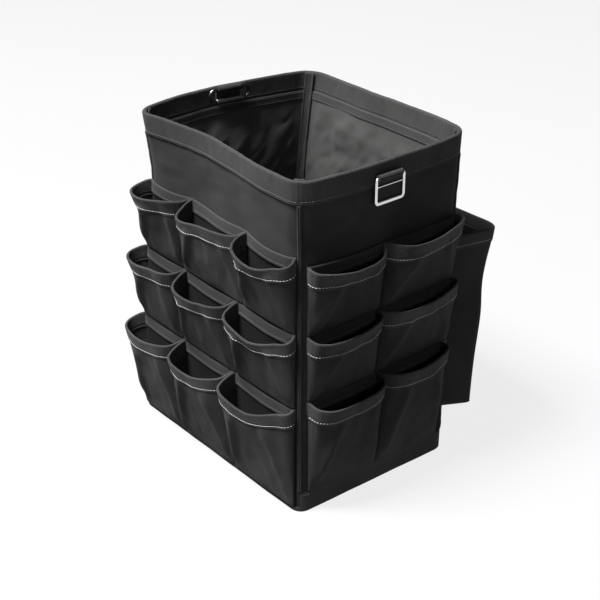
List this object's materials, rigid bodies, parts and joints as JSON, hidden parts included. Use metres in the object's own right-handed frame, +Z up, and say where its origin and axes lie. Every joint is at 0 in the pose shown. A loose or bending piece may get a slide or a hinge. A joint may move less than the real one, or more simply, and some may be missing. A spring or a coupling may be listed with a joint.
{
  "type": "open top tool tote",
  "caption": "Open top rectangular canvas tool tote with rows of small pockets on two sides, a large box pocket behind and a metal ring on its rim.",
  "frame": {"origin": "centre of the base panel, on the surface that the tote stands on", "axes": "+Z up, +X along the long front face towards the face with the silver ring, -Y out of the front face with nine pockets"},
  "size_m": [0.2848, 0.2878, 0.3366],
  "materials": {
    "canvas": "black woven polyester canvas",
    "hem": "charcoal woven polyester, stitched",
    "lining": "smooth dark grey lining cloth",
    "webbing": "black ribbed webbing",
    "ring_metal": "satin nickel-plated steel",
    "link_metal": "dark plated steel"
  },
  "bodies": {
    "tote": {"base_panel": "canvas", "lining": "lining", "inner_facing": "hem", "front_panel": "canvas", "front_rim_hem": "hem", "front_bottom_band": "hem", "front_right_corner_seam": "hem", "front_right_corner_tape": "hem", "right_panel": "canvas", "right_rim_hem": "hem", "right_bottom_band": "hem", "back_right_corner_seam": "hem", "back_right_corner_tape": "hem", "back_panel": "canvas", "back_rim_hem": "hem", "back_bottom_band": "hem", "back_left_corner_seam": "hem", "back_left_corner_tape": "hem", "left_panel": "canvas", "left_rim_hem": "hem", "left_bottom_band": "hem", "front_left_corner_seam": "hem", "front_left_corner_tape": "hem", "front_row1_backing": "hem", "front_row1_pocket1": "canvas", "front_row1_pocket2": "canvas", "front_row1_pocket3": "canvas", "front_row2_backing": "hem", "front_row2_pocket1": "canvas", "front_row2_pocket2": "canvas", "front_row2_pocket3": "canvas", "front_row3_backing": "hem", "front_row3_pocket1": "canvas", "front_row3_pocket2": "canvas", "front_row3_pocket3": "canvas", "right_row1_backing": "hem", "right_row1_pocket1": "canvas", "right_row1_pocket2": "canvas", "right_row2_backing": "hem", "right_row2_pocket1": "canvas", "right_row2_pocket2": "canvas", "right_row3_backing": "hem", "right_row3_pocket1": "canvas", "right_row3_pocket2": "canvas", "big_pocket_panel": "canvas", "big_pocket_right_gusset": "canvas", "big_pocket_left_gusset": "canvas", "big_pocket_floor": "canvas", "ring_tab": "webbing", "link_tab": "webbing"},
    "ring": {"ring": "ring_metal"},
    "link": {"link": "link_metal", "link_sleeve": "link_metal"}
  },
  "joints": [
    {"name": "ring_swing", "type": "hinge", "parent": "tote", "child": "ring", "pos_m": [0.13503, -0.00307, 0.32218], "axis": [0.0626, -0.998, 0], "range_deg": [0, 150]},
    {"name": "link_swing", "type": "hinge", "parent": "tote", "child": "link", "pos_m": [-0.12128, 0.00641, 0.3336], "axis": [-0.0639, -0.998, 0], "range_deg": [0, 150]}
  ]
}
